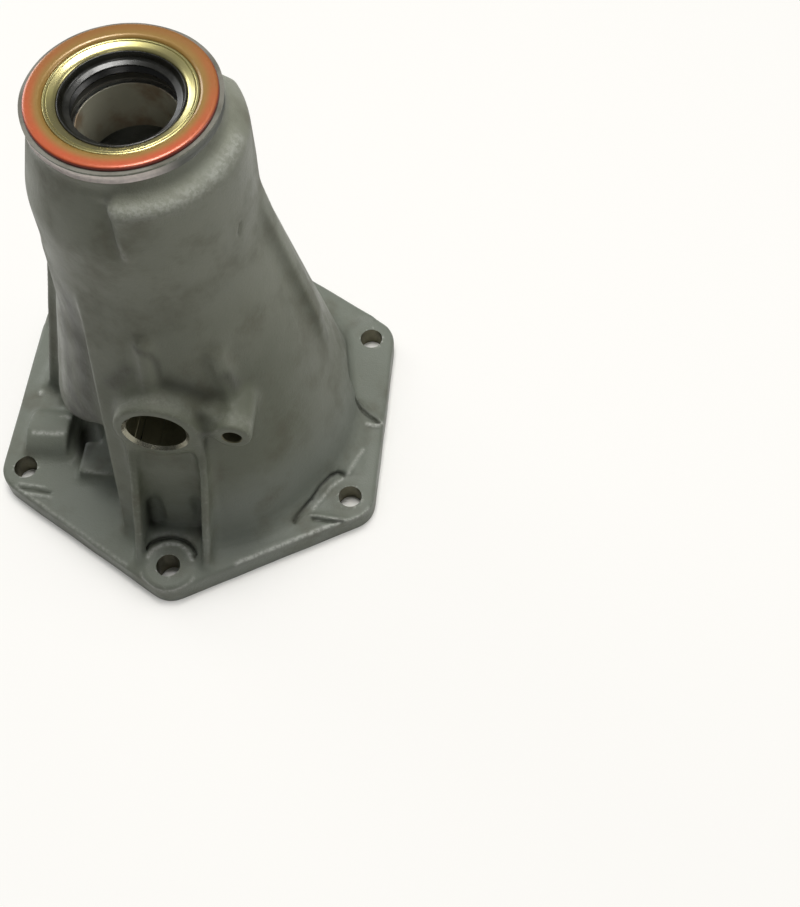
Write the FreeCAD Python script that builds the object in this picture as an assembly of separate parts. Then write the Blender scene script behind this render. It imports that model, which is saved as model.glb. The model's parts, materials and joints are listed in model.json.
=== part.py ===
import FreeCAD, Part
import math
import os

# Transmission extension housing, with its rear bushing, output seal and case seal ring.
# Millimetres. The origin is the centre of the bolt circle on the mating face, +Z runs up the
# output shaft axis to the seal, and -Y is the side that carries the speedometer port.

V = FreeCAD.Vector
UP = V(0, 0, 1)

# Mating flange. The hexagon and the bell foot follow the bolt circle.
bolt_count = 6
bolt_circle = 181.0
bolt_hole = 11.0
corner_margin = 13.42
flange_corner_radius = 14.0
flange_thickness = 12.0
bolt_pad_radius = 13.0
bolt_pad_sink = 1.2
edge_strip_width = 8.5
edge_strip_back = 6.0
raised_boss_radius = 11.6
raised_boss_spot = 13.4
raised_boss_proud = 2.5
blunt_tail = ((37.0, 6.4), (49.0, -11.6))
pointed_tail = ((26.0, 1.0),)

# Bell and neck, outside
casting_height = 218.3
bell_inset = 9.6
bell_foot_fillet = 9.0
barrel_radius = 44.0
barrel_blend = 110.0
neck_length = 64.3
shoulder_drop = 36.3
shoulder_draft = 0.5
shoulder_blend = 30.0
collar_drop = 10.3
collar_step = 1.2
collar_blend = 2.0
rim_margin = 0.4
rim_land = 4.2
groove_depth = 0.5
groove_width = 2.5

# Walls and inside
mating_wall = 12.9
bell_wall = 6.0
neck_wall = 7.5
web_thickness = 8.3
cavity_waist_drop = 60.0
cavity_blend = 60.0
cavity_round = 4.0
bushing_boss_wall = 6.0
bushing_boss_lip = 1.5
oil_slot_width = 5.0
oil_slot_depth = 2.4
oil_slot_below = 20.0
oil_slot_above = 0.5

# Output bushing
yoke_diameter = 38.1
running_clearance = 0.05
lining_thickness = 0.45
bushing_back_thickness = 1.6
bushing_length = 22.0
bushing_setback = 0.8
fit_gap = 0.05

# Output seal: outer can, inner case and rubber
seal_section = 10.45
seal_body_depth = 12.0
seal_flange_width = 5.5
seal_flange_sheet = 1.6
seal_flange_round = 0.7
can_wall = 1.4
can_foot_gap = 0.6
can_foot_round = 0.6
inner_sheet = 1.2
inner_drop = 1.1
inner_dish = 0.7
inner_foot_gap = 1.2
inner_face_round = 0.8
inner_edge_drop = 0.5
inner_edge_round = 0.4
inner_bend_round = 0.3
skirt_margin = 4.35
skirt_depth = 6.8
lip_clearance = 0.15
rubber_drop = 1.4
rubber_round = 0.5
rubber_band = 1.1
dust_root_width = 1.7
dust_root_depth = 2.2
dust_lip_depth = 3.2
dust_lip_edge = 0.7
dust_lip_bevel = 0.3
waist_width = 1.6
waist_depth = 4.2
waist_length = 1.0
waist_round = 0.4
oil_lip_depth = 6.6
oil_lip_heel = 1.6
oil_lip_bevel = 1.2
oil_body_width = 3.4
oil_body_depth = 8.4
oil_body_top = 4.4
bond_length = 4.0
spring_wire = 1.8
spring_offset = 2.9
spring_depth = 6.7

# Case seal ring
ring_inset = 2.5
ring_width = 3.2
ring_height = 2.6
ring_side_gap = 0.15

# Speedometer port and the retainer screw boss beside it
port_x = 2.7
port_height = 91.5
port_face = 65.0
port_bore = 25.6
port_wall = 5.4
port_length = 25.0
port_chamfer = 1.4
screw_boss_offset = 32.0
screw_boss_wall = 4.9
screw_boss_setback = 1.0
screw_boss_length = 20.0
screw_hole = 6.6
screw_hole_depth = 14.0
screw_mouth = 8.0

# Ribs and webs
port_rib_offset = 15.4
port_rib_shift = 1.5
port_rib_thickness = 3.7
port_rib_lean_height = 60.0
port_rib_past_bolt = 1.0
port_rib_tuck = 2.0
rib_sink = 4.0
rib_foot = 1.0
seat_rise = 4.5
seat_front = 85.0
seat_root = 60.0
tongue_margin = 2.0
tongue_top = 62.0
scoop_wall = 2.6
scoop_width = 8.5
scoop_top = 52.0
scoop_bend = 37.0
small_rib_width = 4.6
small_rib_proud = 3.0
small_rib_shift = -0.8
small_rib_above_port = 27.0
screw_rib_width = 5.0
screw_rib_shift = 2.0
screw_rib_lean = 5.0
screw_rib_above = 24.0
screw_rib_tuck = 3.0
link_above = 6.0
link_below = 4.0
link_front = 58.0
link_back = 44.0
side_fin_proud = 4.2
side_fin_face = -1.0
side_fin_thickness = 8.0
side_fin_foot = 66.0
side_fin_full = 92.0

# Thick sector round the front and right of the neck
neck_block_proud = 0.7
neck_block_drop = 16.3
neck_block_slope = 6.5
neck_block_step = 3.3
neck_block_skirt = 20.0
neck_block_depth = 8.0
neck_block_round = 4.0
neck_block_start = -86.0
neck_block_sweep = 126.0

# Recess in the lower left of the bell, with its deep pocket, boss and ledge
recess_edge_x = -24.0
recess_edge_y = 0.0
recess_depth = 8.2
recess_top_drop = 4.0
recess_bend_drop = 36.0
recess_bend_depth = 5.4
recess_blend = 40.0
pocket_edge_x = -59.0
pocket_edge_y = -8.0
pocket_inset = 2.0
pocket_core_radius = 50.0
pocket_core_height = 62.0
pocket_blend_height = 75.0
pocket_top = 44.0
pocket_slope = 0.8
cross_boss_radius = 13.5
cross_boss_height = 8.5
cross_boss_y = -26.5
cross_boss_length = 20.5
ledge_height = 20.0
ledge_front = -49.0
ledge_back = -32.0
ledge_start = 8.5
ledge_overlap = 4.0

# Values worked out from the sizes above
flange_sides = 6
flange_corner_angle = 180.0 / flange_sides
bolt_radius = bolt_circle / 2
bolt_pad_height = flange_thickness - bolt_pad_sink
flange_corner_reach = bolt_radius + corner_margin
bell_foot_radius = bolt_radius - bell_inset
mating_radius = bell_foot_radius - mating_wall
barrel_foot_height = casting_height - neck_length
shoulder_height = casting_height - shoulder_drop
shoulder_radius = barrel_radius - shoulder_draft
collar_height = casting_height - collar_drop
bell_slope = (bell_foot_radius - barrel_radius) / barrel_foot_height
yoke_radius = yoke_diameter / 2
lining_inner = yoke_radius + running_clearance
back_inner = lining_inner + lining_thickness
bushing_outer = back_inner + bushing_back_thickness
bushing_bore = bushing_outer + fit_gap
seal_body = yoke_radius + seal_section
seal_flange = seal_body + seal_flange_width
seal_floor = casting_height - seal_body_depth
seal_top = casting_height + seal_flange_sheet
rim_radius = seal_flange + rim_margin
collar_radius = rim_radius + collar_step
groove_radius = rim_radius - groove_depth
groove_foot = casting_height - rim_land - groove_width
bushing_top = seal_floor - bushing_setback
bushing_foot = bushing_top - bushing_length
boss_radius = bushing_bore + bushing_boss_wall
cavity_top = seal_floor - web_thickness
skirt_radius = yoke_radius + skirt_margin
rubber_top = seal_top - inner_drop - rubber_drop
lip_tip = yoke_radius + lip_clearance
spring_circle = lip_tip + spring_offset
spring_height = rubber_top - spring_depth
ring_inner = mating_radius + ring_inset
ring_outer = ring_inner + ring_width
port_radius = port_bore / 2 + port_wall
port_rib_reach = bolt_radius + port_rib_past_bolt
seat_height = flange_thickness + seat_rise
seat_left = port_rib_shift + port_x / 2 - port_rib_offset
seat_right = port_rib_shift + port_x / 2 + port_rib_offset
tongue_foot = mating_radius + tongue_margin
cavity_waist = barrel_foot_height - cavity_waist_drop
screw_x = port_x + screw_boss_offset
screw_face = port_face - screw_boss_setback
screw_boss_radius = screw_hole / 2 + screw_boss_wall
recess_top = barrel_foot_height - recess_top_drop
into_port = V(0, 1, 0)
overlap = 1.0
far = 400.0


def rounded_outline(corners):
    """Closed outline in the XZ plane from (radius, height, corner round) points."""
    edges = []
    places = [V(c[0], 0, c[1]) for c in corners]
    count = len(corners)
    joins = []
    for i, corner in enumerate(corners):
        here, before, after = places[i], places[i - 1], places[(i + 1) % count]
        if corner[2] <= 0:
            joins.append((here, None, here))
            continue
        to_before = (before - here).normalize()
        to_after = (after - here).normalize()
        half = to_before.getAngle(to_after) / 2
        reach = corner[2] / math.tan(half)
        middle = (to_before + to_after).normalize()
        centre = here + middle * (corner[2] / math.sin(half))
        joins.append((here + to_before * reach, centre - middle * corner[2], here + to_after * reach))
    for i, (start, middle, end) in enumerate(joins):
        if middle is not None:
            edges.append(Part.Arc(start, middle, end).toShape())
        following = joins[(i + 1) % count][0]
        if (following - end).Length > 1e-6:
            edges.append(Part.LineSegment(end, following).toShape())
    return Part.Face(Part.Wire(edges))


def turned(corners, start=0.0, sweep=360.0):
    """Solid of revolution about the shaft axis."""
    face = rounded_outline(corners)
    face.rotate(V(0, 0, 0), UP, start)
    return face.revolve(V(0, 0, 0), UP, sweep)


def sharp(points):
    return [(r, z, 0) for r, z in points]


def ring(inner, outer, low, high):
    return turned(sharp([(inner, low), (outer, low), (outer, high), (inner, high)]))


def block(x, y, z):
    """Box from three (low, high) pairs."""
    return Part.makeBox(x[1] - x[0], y[1] - y[0], z[1] - z[0], V(x[0], y[0], z[0]))


def prism(points, direction):
    """Straight prism from a flat outline of points."""
    return Part.Face(Part.makePolygon(points + [points[0]])).extrude(direction)


def side_prism(points, x, thickness):
    """Prism across X from (y, z) points, centred on x."""
    return prism([V(x - thickness / 2, y, z) for y, z in points], V(thickness, 0, 0))


def front_prism(points, front, depth):
    """Prism along Y from (x, z) points, from the front face inwards."""
    return prism([V(x, -front, z) for x, z in points], V(0, depth, 0))


def on_circle(radius, degrees, z=0.0):
    angle = math.radians(degrees)
    return V(radius * math.cos(angle), radius * math.sin(angle), z)


def bell_radius(z):
    return barrel_radius + bell_slope * (barrel_foot_height - z)


def cavity_radius(z):
    waist_radius = bell_radius(cavity_waist) - bell_wall
    return mating_radius + (waist_radius - mating_radius) * z / cavity_waist


def bell_core(offset, top):
    """Cone that follows the bell at an offset, from the mating face up to a height."""
    corners = [(0, 0), (bell_radius(0) + offset, 0), (bell_radius(top) + offset, top), (0, top)]
    return turned(sharp(corners))


def hexagon(height):
    """Rounded hexagonal column on the mating face, with a corner at each bolt."""
    turns = [flange_corner_angle * (1 + 2 * i) for i in range(flange_sides)]
    points = [on_circle(flange_corner_reach, turn) for turn in turns]
    column = prism(points, UP * height)
    upright = [e for e in column.Edges if abs(e.BoundBox.ZLength - height) < 1e-6]
    return column.makeFillet(flange_corner_radius, upright)


def outer_body():
    """Neck, barrel and bell as one turned solid, with the fillet that runs onto the flange."""
    foot = bell_radius(flange_thickness)
    corners = [
        (0, casting_height, 0),
        (rim_radius, casting_height, 0),
        (rim_radius, casting_height - rim_land, 0),
        (groove_radius, casting_height - rim_land, 0),
        (groove_radius, groove_foot, 0),
        (collar_radius, collar_height, collar_blend),
        (shoulder_radius, shoulder_height, shoulder_blend),
        (barrel_radius, barrel_foot_height, barrel_blend),
        (foot, flange_thickness, bell_foot_fillet),
        (foot + bell_foot_fillet, flange_thickness, 0),
        (foot + bell_foot_fillet, 0, 0),
        (0, 0, 0),
    ]
    return turned(corners)


def cavity():
    """Inside of the bell and neck, up to the web that carries the bushing boss."""
    corners = [
        (0, -overlap, 0),
        (mating_radius, -overlap, 0),
        (mating_radius, 0, 0),
        (cavity_radius(cavity_waist), cavity_waist, cavity_blend),
        (barrel_radius - bell_wall, barrel_foot_height, cavity_blend),
        (shoulder_radius - neck_wall, cavity_top, cavity_round),
        (0, cavity_top, 0),
    ]
    return turned(corners)


def recess_region(grow):
    """Space left of the recess edges, up to its top, grown inwards by a wall."""
    span_x = (-far, recess_edge_x + grow)
    span_y = (-far, recess_edge_y + grow)
    return block(span_x, span_y, (flange_thickness, recess_top))


def pocket_region(grow):
    """Slanting-topped space of the deep pocket, open to the left and grown by a wall inwards."""
    high_x = recess_edge_x - pocket_inset + grow
    foot = flange_thickness - overlap
    rise = (high_x - pocket_edge_x) * pocket_slope
    top = pocket_top + grow
    low_x = pocket_edge_x - (top - foot) / pocket_slope
    points = [(low_x, foot), (high_x, foot), (high_x, top + rise)]
    return front_prism(points, far, far + pocket_edge_y + grow)


def recess(grow):
    """Recess and deep pocket as one cut, or as the thicker space that keeps their walls."""
    bend = barrel_foot_height - recess_bend_drop
    bend_share = pocket_blend_height / bend
    blend_depth = recess_depth + (recess_bend_depth - recess_depth) * bend_share
    floor = [
        (0, 0, 0),
        (bell_radius(0) - recess_depth - grow, 0, 0),
        (bell_radius(bend) - recess_bend_depth - grow, bend, recess_blend),
        (bell_radius(recess_top) - grow, recess_top, 0),
        (0, recess_top, 0),
    ]
    shallow = recess_region(grow).cut(turned(floor))
    core = [
        (0, 0),
        (pocket_core_radius - grow, 0),
        (pocket_core_radius - grow, pocket_core_height),
        (bell_radius(pocket_blend_height) - blend_depth - grow, pocket_blend_height),
        (bell_radius(pocket_blend_height), recess_top),
        (0, recess_top),
    ]
    deep = pocket_region(grow).cut(turned(sharp(core)))
    return shallow.fuse(deep)


def neck_block():
    """Thicker sector of the neck with a sloping top, from the front round to the right."""
    inner = rim_radius - neck_block_depth
    outer = shoulder_radius + neck_block_proud
    foot = shoulder_height - neck_block_skirt
    top = casting_height - neck_block_drop
    corners = [
        (inner, foot, 0),
        (barrel_radius, foot, 0),
        (outer, shoulder_height, shoulder_blend),
        (outer, top, neck_block_round),
        (rim_radius + neck_block_step, top + neck_block_slope, neck_block_round),
        (groove_radius, groove_foot, 0),
        (inner, groove_foot, 0),
    ]
    return turned(corners, neck_block_start, neck_block_sweep)


def side_fin():
    """Gusset on the right of the bell, fading into it above and below."""
    top = barrel_foot_height + side_fin_proud / bell_slope
    points = [
        (0, side_fin_foot),
        (bell_radius(side_fin_foot), side_fin_foot),
        (bell_radius(side_fin_full) + side_fin_proud, side_fin_full),
        (barrel_radius, top),
        (0, top),
    ]
    return prism([V(x, side_fin_face, z) for x, z in points], V(0, side_fin_thickness, 0))


def port_ribs():
    """Two gussets that lean a little as they carry the port down to the front flange bolt."""
    root = bell_radius(port_height) - rib_sink
    points = [
        (-root, rib_foot),
        (-port_rib_reach, rib_foot),
        (-port_rib_reach, flange_thickness),
        (-port_face, port_height - port_radius + port_rib_tuck),
        (-port_face + overlap, port_height),
        (-root, port_height),
    ]
    profile = side_prism(points, 0, far)
    half = port_rib_thickness / 2
    ribs = []
    for side in (port_rib_shift - port_rib_offset, port_rib_shift + port_rib_offset):
        strip = [
            (side - half, 0),
            (side + half, 0),
            (side + port_x + half, port_rib_lean_height),
            (side + port_x + half, port_height),
            (side + port_x - half, port_height),
            (side + port_x - half, port_rib_lean_height),
        ]
        ribs.append(front_prism(strip, far, far).common(profile))
    return ribs


def small_ribs():
    """Low ribs on the bell above the port and above the screw boss, and the web between the two."""
    skin = bell_core(small_rib_proud, barrel_foot_height)
    half = small_rib_width / 2
    middle = port_x + small_rib_shift
    port_rib_top = port_height + port_radius + small_rib_above_port
    over_port = [
        (middle - half, port_height),
        (middle + half, port_height),
        (middle + half, port_rib_top),
        (middle - half, port_rib_top),
    ]
    screw_top = port_height + screw_boss_radius
    low, high = screw_top - screw_rib_tuck, screw_top + screw_rib_above
    side = screw_x + screw_rib_shift
    over_screw = [
        (side - screw_rib_width, low),
        (side, low),
        (side - screw_rib_lean, high),
        (side - screw_rib_lean - screw_rib_width, high),
    ]
    depth = port_face - barrel_radius + bell_wall
    ribs = [front_prism(points, port_face, depth).common(skin) for points in (over_port, over_screw)]
    span_z = (port_height - link_below, port_height + link_above)
    return ribs + [block((port_x, screw_x), (-link_front, -link_back), span_z)]


def port_boss():
    return Part.makeCylinder(port_radius, port_length, V(port_x, -port_face, port_height), into_port)


def screw_boss():
    face = V(screw_x, -screw_face, port_height)
    return Part.makeCylinder(screw_boss_radius, screw_boss_length, face, into_port)


def port_bores():
    """Through bore of the port and the blind tapped hole beside it, with their chamfers."""
    radius = port_bore / 2
    mouth = V(port_x, -port_face, port_height)
    bore = Part.makeCylinder(radius, port_length + 2 * overlap, mouth - into_port * overlap, into_port)
    flare = Part.makeCone(radius + port_chamfer, radius, port_chamfer, mouth, into_port)
    screw = V(screw_x, -screw_face, port_height)
    tapped = Part.makeCylinder(screw_hole / 2, screw_hole_depth, screw, into_port)
    lead = (screw_mouth - screw_hole) / 2
    sink = Part.makeCone(screw_mouth / 2, screw_hole / 2, lead, screw, into_port)
    return [bore, flare, tapped, sink]


def cross_boss():
    """Half-round boss that lies along X on the flange, beside the recess."""
    base = V(pocket_edge_x - cross_boss_length, cross_boss_y, cross_boss_height)
    full = Part.makeCylinder(cross_boss_radius, cross_boss_length, base, V(1, 0, 0))
    above = block((-far, far), (-far, far), (rib_foot, far))
    return full.common(above)


def ledge():
    span_x = (pocket_edge_x + ledge_start, recess_edge_x + ledge_overlap)
    return block(span_x, (ledge_front, ledge_back), (rib_foot, ledge_height))


def bolt_seat():
    """Raised floor between the port ribs, cut away round the front bolt."""
    span_z = (rib_foot, seat_height)
    seat = block((seat_left, seat_right), (-seat_front, -seat_root), span_z)
    spot = on_circle(bolt_radius, -90, flange_thickness)
    return seat.cut(Part.makeCylinder(raised_boss_spot, far, spot))


def between_ribs():
    """Space over the steeper tongue of the bell between the port ribs, and a scoop beside each rib."""
    outside = bell_core(bell_foot_fillet * 3, tongue_top)
    tongue = turned(sharp([
        (0, seat_height),
        (tongue_foot, seat_height),
        (bell_radius(tongue_top), tongue_top),
        (0, tongue_top),
    ]))
    floor = turned(sharp([
        (0, seat_height),
        (cavity_radius(seat_height) + scoop_wall, seat_height),
        (cavity_radius(scoop_top) + scoop_wall, scoop_top),
        (0, scoop_top),
    ]))
    cut = block((seat_left, seat_right), (-far, 0), (seat_height, tongue_top)).common(outside).cut(tongue)
    for wall, inward in ((seat_left, scoop_width), (seat_right, -scoop_width)):
        points = [
            (wall, seat_height),
            (wall + inward, seat_height),
            (wall + inward, scoop_bend),
            (wall, scoop_top),
        ]
        cut = cut.fuse(front_prism(points, far, far).common(outside).cut(floor))
    return cut


def bolt_pad(angle, tail):
    """Flat spot face round one bolt. Its tail has (along the edge, inwards) corners."""
    centre = on_circle(bolt_radius, angle, bolt_pad_height)
    along = on_circle(1.0, angle - 120.0)
    inward = on_circle(-1.0, angle - 30.0)
    side = inward * bolt_pad_radius
    corners = [centre + along * a + inward * b for a, b in tail]
    round_part = Part.makeCylinder(bolt_pad_radius, far, centre)
    wedge = prism([centre + side] + corners + [centre - side], UP * far)
    return round_part.fuse(wedge)


def edge_strip():
    """Sunk strip along the right edge of the flange, level with the pads."""
    edge = flange_corner_reach * math.cos(math.radians(flange_corner_angle))
    front = bolt_radius * math.sin(math.radians(flange_corner_angle))
    return block((edge - edge_strip_width, far), (-front, -edge_strip_back), (bolt_pad_height, far))


def bolt_pads():
    pads = [bolt_pad(angle, pointed_tail) for angle in (-30, 90, 150)]
    return pads + [bolt_pad(30, blunt_tail), edge_strip()]


def bolt_holes():
    start = flange_corner_angle
    step = 360.0 / bolt_count
    places = [on_circle(bolt_radius, start + step * i, -overlap) for i in range(bolt_count)]
    return [Part.makeCylinder(bolt_hole / 2, far, place) for place in places]


def oil_slot():
    """Slot beside the bushing that lets oil from the seal run back to the bell."""
    half = oil_slot_width / 2
    span_z = (bushing_foot - oil_slot_below, seal_floor + oil_slot_above)
    return block((-half, half), (0, bushing_bore + oil_slot_depth), span_z)


def neck_bores():
    """Bushing bore, seal counterbore, oil slot and the groove of the case seal ring."""
    bushing = ring(0.0, bushing_bore, bushing_foot - oil_slot_below, casting_height)
    counterbore = Part.makeCylinder(seal_body + fit_gap, seal_body_depth + overlap, V(0, 0, seal_floor))
    groove = ring(ring_inner - ring_side_gap, ring_outer + ring_side_gap, -overlap, ring_height)
    return [bushing, counterbore, oil_slot(), groove]


def extension_casting():
    body = outer_body().cut(between_ribs()).cut(recess(0.0))
    parts = [hexagon(flange_thickness), bolt_seat(), neck_block(), side_fin(), port_boss(), screw_boss()]
    body = body.fuse(parts + port_ribs() + small_ribs()).common(hexagon(casting_height)).cut(bolt_pads())
    raised_height = flange_thickness + raised_boss_proud
    raised_boss = Part.makeCylinder(raised_boss_radius, raised_height, on_circle(bolt_radius, -90))
    body = body.fuse([raised_boss, cross_boss(), ledge()])
    body = body.cut(cavity().cut(recess(bell_wall)).cut(port_boss()))
    body = body.fuse(ring(bushing_bore, boss_radius, bushing_foot - bushing_boss_lip, cavity_top + overlap))
    return body.cut(neck_bores() + port_bores() + bolt_holes()).removeSplitter()


def bushing_back():
    return ring(back_inner + fit_gap / 2, bushing_outer, bushing_foot, bushing_top)


def bushing_lining():
    return ring(lining_inner, back_inner, bushing_foot, bushing_top)


def seal_outer_case():
    """Pressed steel can with the mounting flange that seats on the neck rim."""
    wall = seal_body - can_wall
    corners = [
        (wall, seal_floor + can_foot_gap, 0),
        (seal_body, seal_floor + can_foot_gap, can_foot_round),
        (seal_body, casting_height, 0),
        (seal_flange, casting_height, 0),
        (seal_flange, seal_top, seal_flange_round),
        (wall, seal_top, seal_flange_round),
    ]
    return turned(corners)


def seal_inner_case():
    """Plated ring nested in the can, with a dished face and a skirt for the rubber."""
    outer = seal_body - can_wall - fit_gap
    outer_inside = outer - inner_sheet
    skirt_outside = skirt_radius + inner_sheet
    face = seal_top - inner_drop
    dish = face - inner_dish
    foot = seal_floor + inner_foot_gap
    skirt_foot = face - skirt_depth
    corners = [
        (outer, foot, 0),
        (outer, face, inner_face_round),
        (skirt_outside, dish, inner_face_round / 2),
        (skirt_radius, dish - inner_edge_drop, inner_edge_round),
        (skirt_radius, skirt_foot, 0),
        (skirt_outside, skirt_foot, 0),
        (skirt_outside, dish - inner_sheet, inner_bend_round),
        (outer_inside, face - inner_sheet, inner_bend_round),
        (outer_inside, foot, 0),
    ]
    return turned(corners)


def seal_lip():
    """Rubber bonded in the skirt: a dust lip above, a spring-loaded oil lip below."""
    bond = skirt_radius - fit_gap
    dust_edge = dust_lip_depth + dust_lip_edge
    heel = oil_lip_depth + oil_lip_heel
    corners = [
        (bond, rubber_top, rubber_round),
        (bond - rubber_band, rubber_top, rubber_round),
        (bond - dust_root_width, rubber_top - dust_root_depth, rubber_round),
        (lip_tip, rubber_top - dust_lip_depth, 0),
        (lip_tip + dust_lip_bevel, rubber_top - dust_edge, 0),
        (lip_tip + waist_width, rubber_top - waist_depth, waist_round),
        (lip_tip + waist_width, rubber_top - waist_depth - waist_length, waist_round),
        (lip_tip, rubber_top - oil_lip_depth, 0),
        (lip_tip + oil_lip_bevel, rubber_top - heel, waist_round),
        (lip_tip + oil_body_width, rubber_top - oil_body_depth, waist_round),
        (lip_tip + oil_body_width, rubber_top - oil_body_top, waist_round),
        (bond, rubber_top - bond_length, 0),
    ]
    groove = Part.makeTorus(spring_circle, spring_wire / 2 + fit_gap, V(0, 0, spring_height))
    return turned(corners).cut(groove)


def garter_spring():
    return Part.makeTorus(spring_circle, spring_wire / 2, V(0, 0, spring_height))


def case_seal_ring():
    return ring(ring_inner, ring_outer, 0.0, ring_height)


pieces = {
    "extension_casting": extension_casting,
    "bushing_back": bushing_back,
    "bushing_lining": bushing_lining,
    "seal_outer_case": seal_outer_case,
    "seal_inner_case": seal_inner_case,
    "seal_lip": seal_lip,
    "garter_spring": garter_spring,
    "case_seal_ring": case_seal_ring,
}

os.makedirs("parts", exist_ok=True)
for name, make in pieces.items():
    shape = make()
    solids = shape.Solids
    if len(solids) == 1:
        shape = solids[0]
    shape.exportStep("parts/" + name + ".step")
    size = shape.BoundBox
    print(name, len(solids), shape.isValid(), round(shape.Volume), round(size.XLength, 1),
          round(size.YLength, 1), round(size.ZLength, 1))
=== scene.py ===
# %% [markdown]
# A transmission extension housing stands on its mating face, with its output seal on top.
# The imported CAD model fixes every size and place, and this file dresses it: it casts the
# housing, machines it, fits the seal and the bushing, and lights it for one camera.
# It is written as a lesson. Each step says what the part is and why it is made that way.

# %% Load the CAD frame
import json
import math

import bmesh
import bpy
import numpy as np
from mathutils import Matrix, Vector, noise
from mathutils.bvhtree import BVHTree


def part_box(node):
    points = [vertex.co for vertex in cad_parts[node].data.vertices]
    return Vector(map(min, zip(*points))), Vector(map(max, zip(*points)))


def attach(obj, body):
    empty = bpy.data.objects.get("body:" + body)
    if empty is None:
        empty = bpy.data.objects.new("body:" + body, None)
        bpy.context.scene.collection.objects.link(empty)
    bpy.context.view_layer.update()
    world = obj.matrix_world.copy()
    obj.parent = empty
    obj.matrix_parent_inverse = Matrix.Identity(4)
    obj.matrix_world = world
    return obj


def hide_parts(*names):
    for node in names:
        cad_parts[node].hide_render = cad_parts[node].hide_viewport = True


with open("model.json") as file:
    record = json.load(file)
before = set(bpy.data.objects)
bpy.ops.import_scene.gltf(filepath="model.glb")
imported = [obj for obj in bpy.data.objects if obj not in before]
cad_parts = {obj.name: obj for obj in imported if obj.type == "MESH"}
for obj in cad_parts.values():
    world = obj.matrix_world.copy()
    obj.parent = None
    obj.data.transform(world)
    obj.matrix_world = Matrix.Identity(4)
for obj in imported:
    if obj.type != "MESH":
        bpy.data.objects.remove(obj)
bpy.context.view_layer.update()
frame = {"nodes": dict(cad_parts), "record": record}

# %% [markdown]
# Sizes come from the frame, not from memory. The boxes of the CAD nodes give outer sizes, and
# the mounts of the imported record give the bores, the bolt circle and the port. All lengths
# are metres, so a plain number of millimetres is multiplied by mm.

mm = 0.001
mounts = {mount["name"]: mount for mount in frame["record"]["mounts"]}
casting_low, casting_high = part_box("extension_casting")
casting_top = casting_high.z
bolt_circle = mounts["case_bolts"]["dims"]["pcd_mm"] * mm / 2
bolt_hole = mounts["case_bolts"]["dims"]["hole_r_mm"] * mm
bolt_count = mounts["case_bolts"]["dims"]["count"]
yoke_radius = mounts["yoke_bore"]["dims"]["r_mm"] * mm
port_bore = mounts["speedometer_port"]["dims"]["r_mm"] * mm
port_place = Vector(mounts["speedometer_port"]["pos_m"])
screw_hole = mounts["retainer_screw"]["dims"]["r_mm"] * mm
screw_place = Vector(mounts["retainer_screw"]["pos_m"])
bushing_low, bushing_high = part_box("bushing_back")
can_low, can_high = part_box("seal_outer_case")
ring_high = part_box("case_seal_ring")[1]
print("casting", [round(1000 * size, 1) for size in casting_high - casting_low], "mm")

# %% [markdown]
# The camera comes first, because every later choice is judged through it. Its place and its
# three angles were worked out from the six bolt holes and the seal circles. The rotation is
# built from those angles, so that a reader can see which way it looks.

# %% Camera
camera_place = Vector((0.135509, -0.324224, 0.558373))
camera_pitch = 1.0605455
camera_yaw = -0.1175722
camera_roll = -0.0191214
focal_pixels = 1300.734
frame_height = 907.0
sensor = 36.0


def camera_matrix():
    """World matrix of a camera that looks down by its pitch, turned by its yaw and roll."""
    level = Vector((math.sin(camera_yaw), math.cos(camera_yaw), 0))
    ahead = level * math.cos(camera_pitch) - Vector((0, 0, math.sin(camera_pitch)))
    right = Vector((math.cos(camera_yaw), -math.sin(camera_yaw), 0))
    above = right.cross(ahead)
    roll = Matrix.Rotation(-camera_roll, 3, ahead)
    columns = Matrix((roll @ right, roll @ above, -ahead)).transposed()
    return Matrix.Translation(camera_place) @ columns.to_4x4()


camera_data = bpy.data.cameras.new("photo_camera")
camera_data.sensor_width = sensor
camera_data.lens = focal_pixels * sensor / frame_height
camera = bpy.data.objects.new("photo_camera", camera_data)
bpy.context.scene.collection.objects.link(camera)
camera.matrix_world = camera_matrix()
bpy.context.scene.camera = camera
print("camera lens", round(camera_data.lens, 2), "mm")

# %% [markdown]
# A few helpers make, finish and check meshes. A modifier is baked by reading the evaluated
# object into a new mesh, which is what an artist's Apply button does. Faces have to point
# outwards, so a closed mesh whose signed volume is negative is turned round.

# %% Mesh helpers
def add_object(name, mesh):
    piece = bpy.data.objects.new(name, mesh)
    bpy.context.scene.collection.objects.link(piece)
    return piece


def bake_modifiers(piece):
    graph = bpy.context.evaluated_depsgraph_get()
    baked = bpy.data.meshes.new_from_object(piece.evaluated_get(graph))
    piece.modifiers.clear()
    piece.data = baked


def apply_modifier(piece, kind, **settings):
    modifier = piece.modifiers.new(kind.lower(), kind)
    for key, value in settings.items():
        setattr(modifier, key, value)
    bake_modifiers(piece)


def face_outwards(mesh):
    shape = bmesh.new()
    shape.from_mesh(mesh)
    if shape.calc_volume(signed=True) < 0:
        bmesh.ops.reverse_faces(shape, faces=shape.faces)
    shape.to_mesh(mesh)
    shape.free()


def smooth_but_edges(mesh, degrees=32):
    mesh.shade_smooth()
    mesh.set_sharp_from_angle(angle=math.radians(degrees))


def finish_piece(piece, slot, *nodes):
    """Ride on the part's one body and stand for the CAD nodes. The slot is not used."""
    piece.data.name = piece.name
    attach(piece, "root")
    if nodes:
        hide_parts(*nodes)
    print(piece.name, len(piece.data.polygons), "faces")
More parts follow.
